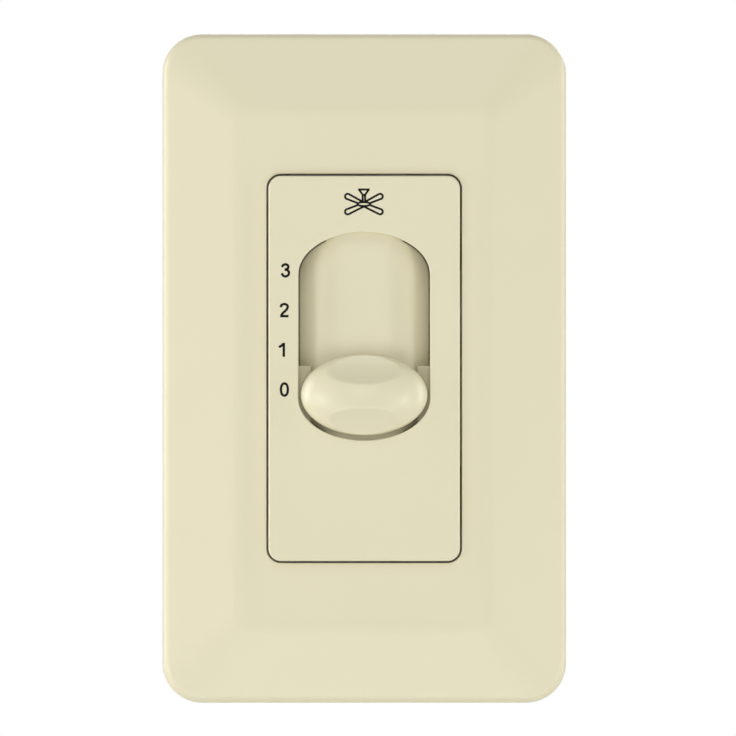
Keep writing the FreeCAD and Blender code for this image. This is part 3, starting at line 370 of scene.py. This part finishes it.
capacitor_box = finish("capacitor_box", moulded_skin,
                       {"Colour": (0.66, 0.47, 0.08, 1.0), "Mottle": 0.08, "Dullness": 0.35, "Smudges": 0.2,
                        "Grain": 0.5}, depth=5e-6)
dress(capacitor_box, "speed_capacitor_medium", "speed_capacitor_low")
lacquer = finish("resistor_lacquer", moulded_skin,
                 {"Colour": (0.50, 0.36, 0.20, 1.0), "Mottle": 0.15, "Dullness": 0.3, "Smudges": 0.2,
                  "Grain": 0.3}, depth=8e-6)
dress(lacquer, "bleed_resistors")
tin = finish("tinned_wire", plating, {"Colour": (0.66, 0.65, 0.62, 1.0), "Bloom": 0.06, "Dullness": 0.24},
             depth=1e-6, shader_values=METAL)
dress(tin, "capacitor_leads", "resistor_leads")


# Wire terminals
# Two bent brass plates in niches of the case, each with a slotted brass binding screw for one wire.
# The plates are pressed from strip; the screws are turned, with a rolled thread into the plate.

TERMINAL_UP = -12.0
TERMINAL_TURNS = {-1: 0.5, 1: -0.8}
TERMINAL_HEAD = {"radius": 3.7, "height": 2.2, "edge": 0.5, "slot_width": 1.0, "slot_depth": 0.9}
TERMINAL_SHANK = {"radius": 2.0, "length": 7.0, "pitch": 0.8, "neck": 0.3, "neck_radius": 1.7}

dress(brass, "terminal_plates")
terminal_aside = extent("terminal_plates")[1][0]
terminal_out = np.mean([corner[2] for corner in extent("terminal_screws")])
terminal_grids = []
for side, slot_turn in TERMINAL_TURNS.items():
    seat = (side * terminal_aside, TERMINAL_UP, terminal_out)
    terminal_grids += screw(TERMINAL_HEAD, TERMINAL_SHANK, seat, (side, 0, 0), slot_turn)
terminal_pair = make_piece("binding_screw_pair", terminal_grids, brass, "housing")
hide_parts("terminal_screws")


# Earth screw
# A slotted screw with a wide head behind the lower end of the strap, for the bare earth wire.
# Steel under a green dyed plating that lets the metal shine through.

EARTH_PLACE = (-11.0, -43.17)
EARTH_TURN = 0.6
EARTH_HEAD = {"radius": 3.8, "height": 2.4, "edge": 0.6, "slot_width": 1.0, "slot_depth": 0.9}
EARTH_SHANK = {"radius": 2.0, "length": 1.5, "pitch": 0.8, "neck": 0.2, "neck_radius": 1.7}

earth_grids = screw(EARTH_HEAD, EARTH_SHANK, (*EARTH_PLACE, strap_low[2]), FACING_IN, EARTH_TURN)
green = finish("green_plate", plating, {"Colour": (0.04, 0.30, 0.09, 1.0), "Bloom": 0.15, "Dullness": 0.30},
               depth=1.5e-6, shader_values={"Metallic": 0.7})
earth_screw = make_piece("earth_screw", earth_grids, green, "housing")
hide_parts("ground_screw")


# Carriage, detent spring and wiper
# The carriage slides behind the saddle and carries the knob on two side tabs, moulded in ivory; its colour is
# darker than the face's as painted shade for the shadow the tabs lie in.
# A steel leaf in its back clicks into the strap, and a brass strip under its post wipes the contacts.

IVORY = (0.752, 0.701, 0.496, 1.0)

# Darker ivory than the face: painted shade standing in for the shadow over the tabs under the face and knob.
carriage_painted_shade = finish("carriage_painted_shade", moulded_skin,
                        {"Colour": (0.60, 0.555, 0.375, 1.0), "Mottle": 0.02, "Dullness": 0.36,
                         "Smudges": 0.08, "Grain": 0.4}, depth=3e-6)
dress(carriage_painted_shade, "slide_carriage")
spring_steel = finish("spring_steel", plating,
                      {"Colour": (0.40, 0.40, 0.42, 1.0), "Bloom": 0.06, "Dullness": 0.24},
                      depth=1e-6, shader_values=METAL)
dress(spring_steel, "detent_spring")
dress(brass, "wiper_contact")


# Face with its saddle
# The rectangular face that stands proud of the plate, moulded in ivory in one piece with the saddle that the
# knob runs over. Hooks on its side walls catch behind the strap.

ivory_face = finish("ivory_face", moulded_skin,
                    {"Colour": IVORY, "Mottle": 0.012, "Dullness": 0.33, "Smudges": 0.06, "Grain": 0.35},
                    depth=2e-6)
dress(ivory_face, "face_bezel")


# Speed numbers
# The digits 0 to 3 beside the window, pad printed in black ink that stands a hair above the plastic.
# Each is a few strokes of even width with square ends.

INK_WIDTH = 0.42
INK_PROUD = 0.015
INK_SUNK = 0.03
NUMBER_STRETCH = (1.01, 1.03)
NUMBER_PLACES = ((-13.58, -3.60), (-13.60, 3.16), (-13.58, 9.93), (-13.39, 16.69))
OVAL_STEPS = 64
ZERO_HALF = 0.58
ZERO_POWER = 0.9

face_front = extent("face_bezel")[1][2]


def smooth_path(points, steps=10):
    """Points along a curve through the given ones.

    Between each two, p1 and p2, with neighbours p0 and p3, the point at share t is
    p1 + t (p2 - p0) / 2 + t^2 (p0 - 5 p1 / 2 + 2 p2 - p3 / 2) + t^3 (3 (p1 - p2) + p3 - p0) / 2.
    """
    points = np.asarray(points, float)
    padded = np.concatenate([2 * points[:1] - points[1:2], points, 2 * points[-1:] - points[-2:-1]])
    p0, p1, p2, p3 = padded[:-3, None], padded[1:-2, None], padded[2:-1, None], padded[3:, None]
    t = np.linspace(0, 1, steps, endpoint=False)[None, :, None]
    curve = p1 + t * (p2 - p0) / 2 + t ** 2 * (p0 - 2.5 * p1 + 2 * p2 - p3 / 2)
    curve = curve + t ** 3 * (3 * (p1 - p2) + p3 - p0) / 2
    return np.concatenate([curve.reshape(-1, 2), points[-1:]])


def ink_stroke(path, width, closed=False):
    """Flat line of ink along a path on the face, as a square section carried along it.

    The section's sides lie half a width to each side of the path, along its normal, and its ends close on
    their middle.
    """
    path = np.asarray(path, float)
    if closed:
        heading = np.roll(path, -1, axis=0) - np.roll(path, 1, axis=0)
    else:
        heading = np.gradient(path, axis=0)
    heading /= np.linalg.norm(heading, axis=1, keepdims=True)
    normal = np.stack([-heading[:, 1], heading[:, 0]], axis=1) * width / 2
    low = np.full((len(path), 1), face_front - INK_SUNK)
    high = np.full((len(path), 1), face_front + INK_PROUD)
    left, right = path + normal, path - normal
    rows = np.stack([np.hstack([left, high]), np.hstack([right, high]), np.hstack([right, low]),
                     np.hstack([left, low])], axis=1)
    if closed:
        return np.concatenate([rows, rows[:1]])
    ends = rows.mean(axis=1, keepdims=True).repeat(4, axis=1)
    return np.concatenate([ends[:1], rows, ends[-1:]])


around = np.linspace(0, 2 * np.pi, OVAL_STEPS, endpoint=False)
zero_ring = np.stack([ZERO_HALF * np.sign(np.cos(around)) * np.abs(np.cos(around)) ** ZERO_POWER,
                      np.sign(np.sin(around)) * np.abs(np.sin(around)) ** ZERO_POWER], axis=1)
NUMBER_STROKES = (
    [(zero_ring, True)],
    [(np.array([(-0.08, -1.155), (-0.08, 0.0), (-0.08, 1.155)]), False),
     (smooth_path([(-0.10, 1.10), (-0.28, 0.84), (-0.60, 0.60), (-0.92, 0.47)]), False)],
    [(smooth_path([(-0.60, 0.47), (-0.50, 0.80), (-0.02, 1.0), (0.48, 0.80), (0.53, 0.40), (0.24, -0.06),
                   (-0.26, -0.50), (-0.58, -1.0)]), False),
     (np.array([(-0.72, -1.0), (0.0, -1.0), (0.70, -1.0)]), False)],
    [(smooth_path([(-0.56, 0.53), (-0.44, 0.82), (-0.04, 1.0), (0.36, 0.85), (0.47, 0.55), (0.30, 0.24),
                   (-0.14, 0.12)]), False),
     (smooth_path([(-0.14, 0.12), (0.34, 0.02), (0.58, -0.36), (0.44, -0.80), (-0.02, -1.0), (-0.45, -0.82),
                   (-0.62, -0.46)]), False)])

number_grids = [ink_stroke(path * NUMBER_STRETCH + place, INK_WIDTH, closed)
                for place, strokes in zip(NUMBER_PLACES, NUMBER_STROKES) for path, closed in strokes]
ink = finish("black_ink", moulded_skin,
             {"Colour": (0.010, 0.009, 0.008, 1.0), "Mottle": 0.3, "Dullness": 0.5, "Smudges": 0.1,
              "Grain": 0.6}, depth=4e-6, shader_values={"Specular IOR Level": 0.1})
make_piece("speed_numbers", number_grids, ink, "housing", sharp=30.0)


# Fan sign
# A ceiling fan in outline above the window, printed with the numbers: canopy, rod, oval hub and four blades.
# Each blade is a long outline with a round end that starts at the hub.

SIGN_PLACE = (-0.05, 27.97)
SIGN_WIDTH = 0.35
HUB_SIZE = (1.09, 0.33)
BLADE_END = (2.76, 1.30)
BLADE_START = {1: (0.31, 0.45), -1: (0.04, 0.43)}
BLADE_ROOT = (0.76, 0.37)
BLADE_HEEL = (1.12, 0.20)
BLADE_HALF = 0.45
BLADE_TIP_STEPS = 24
CANOPY_TOP = [(-0.98, 2.48), (0.0, 2.48), (0.98, 2.48)]
CANOPY_SIDE = [(0.86, 2.50), (0.53, 2.05), (0.19, 1.56)]
ROD_COLLAR = [(-0.30, 1.55), (0.0, 1.55), (0.30, 1.55)]
ROD_SIDE = [(0.21, 1.62), (0.21, 1.0), (0.21, 0.25)]

hub = np.stack([HUB_SIZE[0] * np.cos(around), HUB_SIZE[1] * np.sin(around)], axis=1)
lean = np.arctan2(BLADE_END[1] - BLADE_ROOT[1], BLADE_END[0] - BLADE_ROOT[0])
tip = np.linspace(np.pi / 2, -np.pi / 2, BLADE_TIP_STEPS) + lean
blade_tip = np.array(BLADE_END) + BLADE_HALF * np.stack([np.cos(tip), np.sin(tip)], axis=1)
sign_strokes = [(hub, True), (np.array(CANOPY_TOP), False), (np.array(ROD_COLLAR), False)]
for end, start in BLADE_START.items():
    blade = np.concatenate([[start], blade_tip, [BLADE_HEEL]])
    sign_strokes += [(blade * (side, end), False) for side in (-1, 1)]
sign_strokes += [(np.array(line) * (side, 1), False) for line in (CANOPY_SIDE, ROD_SIDE) for side in (-1, 1)]
sign_grids = [ink_stroke(path + SIGN_PLACE, SIGN_WIDTH, closed) for path, closed in sign_strokes]
make_piece("fan_sign", sign_grids, ink, "housing", sharp=30.0)


# Slide knob
# The oval thumb piece, moulded in glossy ivory: a low dome with a finger scoop above and below its ridge.
# It is hollow behind and sits on the tabs of the carriage by four pegs.

KNOB_SKIRT = 1.1
KNOB_DOME = 4.9
RIDGE_HALF = {1: 1.77, -1: 2.27}
SCOOP_RADIUS = 20.0
SCOOP_RIM_RISE = 1.0
EDGE_SOFTNESS = 0.2
POCKET_SIZE = (7.5, 2.6)
POCKET_DEPTH = 3.2
FOOT_EDGE = 0.2
FOOT_MIDDLE = 0.06
KNOB_RINGS = 110
KNOB_SIDES = 240
PEG_RADIUS = 0.6
PEG_INTO_KNOB = 0.2
PEG_SIDES = 24
PEG_PLACES = ((-9.9, -1.6), (-9.9, 1.6), (9.9, -1.6), (9.9, 1.6))

knob_low, knob_high = extent("slide_knob")
knob_half = (knob_high[0], (knob_high[1] - knob_low[1]) / 2)
knob_up = (knob_high[1] + knob_low[1]) / 2
knob_equator = knob_high[2] - KNOB_DOME
knob_bottom = knob_equator - KNOB_SKIRT


def soft_minimum(first, second, softness):
    """The lower of two heights, with their crease rounded.

    It is the lower one, less a quarter of the softness times the squared share by which their difference
    falls short of the softness.
    """
    nearness = np.clip(1 - np.abs(first - second) / softness, 0, 1)
    return np.minimum(first, second) - softness / 4 * nearness ** 2


def scoop_height(up, end):
    """Height over the equator of one finger scoop at a distance up the knob.

    The scoop is a circle of the scoop radius through the ridge's edge on the dome and a point above the rim.
    """
    ridge, rim = RIDGE_HALF[end], knob_half[1]
    ridge_height = KNOB_DOME * np.sqrt(1 - (ridge / rim) ** 2)
    run, drop = rim - ridge, ridge_height - SCOOP_RIM_RISE
    chord = np.hypot(run, drop)
    reach = np.sqrt(SCOOP_RADIUS ** 2 - (chord / 2) ** 2) / chord
    centre_up = (ridge + rim) / 2 + drop * reach
    centre_height = (ridge_height + SCOOP_RIM_RISE) / 2 + run * reach
    away = np.clip(end * up - centre_up, -SCOOP_RADIUS, SCOOP_RADIUS)
    return centre_height - np.sqrt(SCOOP_RADIUS ** 2 - away ** 2)


def level_ring(angle, centre, half, out):
    """Oval ring of two half sizes about a centre, level at one height out of the wall."""
    return np.stack([centre[0] + half[0] * np.cos(angle), centre[1] + half[1] * np.sin(angle),
                     np.full(angle.shape, out)], axis=-1)


def knob_surface():
    """The knob as rings from its peak over the rim to the roof of its pocket.

    A ring at slope angle s lies at sin(s) times the oval's half sizes, at the dome's height times cos(s),
    lowered by soft minimum to the two scoops. Below the rim come the skirt, the underside and the pocket.
    """
    slope = np.linspace(0, np.pi / 2, KNOB_RINGS)[:, None]
    angle = np.linspace(0, 2 * np.pi, KNOB_SIDES, endpoint=False)[None, :]
    x = knob_half[0] * np.sin(slope) * np.cos(angle)
    up = knob_half[1] * np.sin(slope) * np.sin(angle)
    height = np.broadcast_to(KNOB_DOME * np.cos(slope), x.shape)
    for end in (1, -1):
        height = soft_minimum(height, scoop_height(up, end), EDGE_SOFTNESS)
    height = np.maximum(height, 0)
    top = np.stack([x, up + knob_up, height + knob_equator], axis=-1)
    roof = knob_bottom + POCKET_DEPTH
    lower = ((knob_half, knob_bottom + FOOT_EDGE),
             (np.subtract(knob_half, FOOT_MIDDLE), knob_bottom + FOOT_MIDDLE),
             (np.subtract(knob_half, FOOT_EDGE), knob_bottom),
             (POCKET_SIZE, knob_bottom), (POCKET_SIZE, roof), ((0, 0), roof))
    return np.concatenate([top, *(level_ring(angle, (0, knob_up), half, out) for half, out in lower)])


def peg(x, up):
    """Round peg below the knob, as rings that close on its axis at both ends."""
    angle = np.linspace(0, 2 * np.pi, PEG_SIDES, endpoint=False)
    root = knob_bottom + PEG_INTO_KNOB
    rings = ((0, root), (PEG_RADIUS, root), (PEG_RADIUS, knob_low[2]), (0, knob_low[2]))
    return np.stack([level_ring(angle, (x, knob_up + up), (radius, radius), out) for radius, out in rings])


ivory_knob = finish("ivory_knob", moulded_skin,
                    {"Colour": IVORY, "Mottle": 0.012, "Dullness": 0.30, "Smudges": 0.06, "Grain": 0.15},
                    depth=1.5e-6)
knob_grids = [knob_surface()] + [peg(*place) for place in PEG_PLACES]
knob = make_piece("thumb_knob", knob_grids, ivory_knob, "slider", sharp=50.0)
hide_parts("slide_knob")


# Frame under the plate and its screws
# A flat plastic frame screwed to the ends of the strap, which the cover clips on to. Moulded, matt, ivory.
# Two short zinc plated screws hold it.

FRAME_SCREW_UP = 48.42
FRAME_SCREW_SINK = 0.6
FRAME_SCREW_TURNS = {1: 0.9, -1: 0.2}
FRAME_SCREW_HEAD = {"radius": 3.0, "height": 1.4, "edge": 0.5, "slot_width": 0.9, "slot_depth": 0.7}
FRAME_SCREW_SHANK = {"radius": 1.6, "length": 6.0, "pitch": 0.79, "neck": 0.2, "neck_radius": 1.3}

matt_ivory = finish("matt_ivory", moulded_skin,
                    {"Colour": (0.72, 0.67, 0.49, 1.0), "Mottle": 0.03, "Dullness": 0.55, "Smudges": 0.1,
                     "Grain": 0.8}, depth=6e-6)
dress(matt_ivory, "plate_frame")
frame_seat = extent("plate_frame")[1][2] - FRAME_SCREW_SINK
frame_screw_grids = []
for end, slot_turn in FRAME_SCREW_TURNS.items():
    seat = (0.0, end * FRAME_SCREW_UP, frame_seat)
    frame_screw_grids += screw(FRAME_SCREW_HEAD, FRAME_SCREW_SHANK, seat, FACING_OUT, slot_turn)
frame_screws = make_piece("frame_screw_pair", frame_screw_grids, screw_zinc, "housing")
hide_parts("plate_frame_screws")


# Wall plate
# The clip-on cover with a sloping border around a flat land, moulded in ivory with a smooth satin gloss.
# Catches on its long sides grip the frame, so no screw shows from the front.

ivory_plate = finish("ivory_plate", moulded_skin,
                     {"Colour": IVORY, "Mottle": 0.012, "Dullness": 0.34, "Smudges": 0.06, "Grain": 0.35},
                     depth=2e-6)
dress(ivory_plate, "wall_plate")


# Floor
# A pale studio table below the part, which is held in the air as it would be on a wall.
# Painted board with a barely visible unevenness, as pale to the camera as the white room around it.

FLOOR_UP = -1.2
FLOOR_HALF = 1.2
BOARD_PALENESS = 0.97


def seen_rays(tree):
    """1 for rays from the camera, a gloss or a clear piece, and 0 for light that falls on the part."""
    rays = add_node(tree, "ShaderNodeLightPath", {}).outputs
    shine = arithmetic(tree, "MAXIMUM", rays["Is Glossy Ray"], rays["Is Transmission Ray"])
    return arithmetic(tree, "MAXIMUM", rays["Is Camera Ray"], shine)


floor_mesh = bpy.data.meshes.new("studio_floor")
floor_turns = ((-1, -1), (1, -1), (1, 1), (-1, 1))
floor_corners = [(x * FLOOR_HALF, y * FLOOR_HALF, FLOOR_UP) for x, y in floor_turns]
floor_mesh.from_pydata(floor_corners, [], [(0, 1, 2, 3)])
floor = bpy.data.objects.new("studio_floor", floor_mesh)
bpy.context.scene.collection.objects.link(floor)
pale_board = finish("pale_board", moulded_skin,
                    {"Colour": (0.97, 0.97, 0.97, 1.0), "Mottle": 0.01, "Dullness": 0.7, "Smudges": 0.05,
                     "Grain": 0.2}, depth=1e-5)
board_tree = pale_board.node_tree
board_skin = next(node for node in board_tree.nodes if node.type == "GROUP")
board_paint = board_tree.nodes["Principled BSDF"]
board_glow = add_node(board_tree, "ShaderNodeEmission", {"Color": board_skin.outputs["Colour"]})
board_seen = arithmetic(board_tree, "MULTIPLY", seen_rays(board_tree), BOARD_PALENESS)
board_mix = add_node(board_tree, "ShaderNodeMixShader", {0: board_seen, 1: board_paint.outputs["BSDF"],
                                                         2: board_glow.outputs["Emission"]})
board_tree.links.new(board_mix.outputs["Shader"], board_tree.nodes["Material Output"].inputs["Surface"])
floor_mesh.materials.append(pale_board)


# Studio light
# A tall soft box, a wide panel and a small window on each side, the left ones stronger. The windows gleam
# on the ends of the knob. Wide boxes stand high and low in front, a small one between them and one behind.
# The room is white to the eye and in the gloss, and lights the part as a faint grey fill.

ROOM_FILL = 0.2
SOFT_BOXES = {
    "left_side_box": {"turn": -88.0, "rise": 6.0, "distance": 1.1, "power": 6.3, "size": (0.45, 0.9)},
    "left_panel": {"turn": -60.0, "rise": -5.0, "distance": 1.2, "power": 2.0, "size": (1.3, 0.9)},
    "left_window": {"turn": -48.0, "rise": -12.0, "distance": 1.3, "power": 1.9, "size": (0.35, 0.45)},
    "right_side_box": {"turn": 85.0, "rise": 3.0, "distance": 1.1, "power": 4.3, "size": (0.45, 0.9)},
    "right_panel": {"turn": 62.0, "rise": -2.0, "distance": 1.2, "power": 1.1, "size": (1.3, 0.9)},
    "right_window": {"turn": 42.0, "rise": -14.0, "distance": 1.3, "power": 1.8, "size": (0.2, 0.5)},
    "front_box": {"turn": 0.0, "rise": 8.0, "distance": 1.6, "power": 2.3, "size": (0.6, 0.6)},
    "high_box": {"turn": 0.0, "rise": 48.0, "distance": 1.5, "power": 5.6, "size": (1.2, 0.8)},
    "low_box": {"turn": 0.0, "rise": -44.0, "distance": 1.5, "power": 7.8, "size": (1.4, 0.8)},
    "back_box": {"turn": 160.0, "rise": 28.0, "distance": 1.5, "power": 7.0, "size": (1.6, 0.8)}}

for name, lamp in SOFT_BOXES.items():
    light = bpy.data.lights.new(name, "AREA")
    light.energy = lamp["power"]
    light.shape = "RECTANGLE"
    light.size, light.size_y = lamp["size"]
    turn, rise = np.radians(lamp["turn"]), np.radians(lamp["rise"])
    soft_box = bpy.data.objects.new(name, light)
    toward = np.array([np.sin(turn) * np.cos(rise), -np.cos(turn) * np.cos(rise), np.sin(rise)])
    soft_box.location = lamp["distance"] * toward
    soft_box.rotation_euler = (np.pi / 2 - rise, 0, turn)
    bpy.context.scene.collection.objects.link(soft_box)

world = bpy.data.worlds.new("white_room")
world.use_nodes = True
bpy.context.scene.world = world
room = world.node_tree
fill = room.nodes["Background"]
fill.inputs["Color"].default_value = (1.0, 1.0, 1.0, 1.0)
fill.inputs["Strength"].default_value = ROOM_FILL
backdrop = add_node(room, "ShaderNodeBackground", {"Color": (1.0, 1.0, 1.0, 1.0), "Strength": 1.0})
mixed = add_node(room, "ShaderNodeMixShader", {0: seen_rays(room), 1: fill.outputs["Background"],
                                               2: backdrop.outputs["Background"]})
room.links.new(mixed.outputs["Shader"], room.nodes["World Output"].inputs["Surface"])
bpy.context.scene.view_settings.view_transform = "Standard"


# Camera
# A long lens square in front of the face, framing the plate as in the photograph.

VIEW_WIDTH = 0.12539
VIEW_ASIDE = 0.00065
VIEW_UP = 0.00007
VIEW_DISTANCE = 1.5

camera_data = bpy.data.cameras.new("camera")
camera_data.lens = camera_data.sensor_width * VIEW_DISTANCE / VIEW_WIDTH
camera = bpy.data.objects.new("camera", camera_data)
camera.location = (VIEW_ASIDE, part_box("wall_plate")[0].y - VIEW_DISTANCE, VIEW_UP)
camera.rotation_euler = (np.pi / 2, 0, 0)
bpy.context.scene.collection.objects.link(camera)
bpy.context.scene.camera = camera
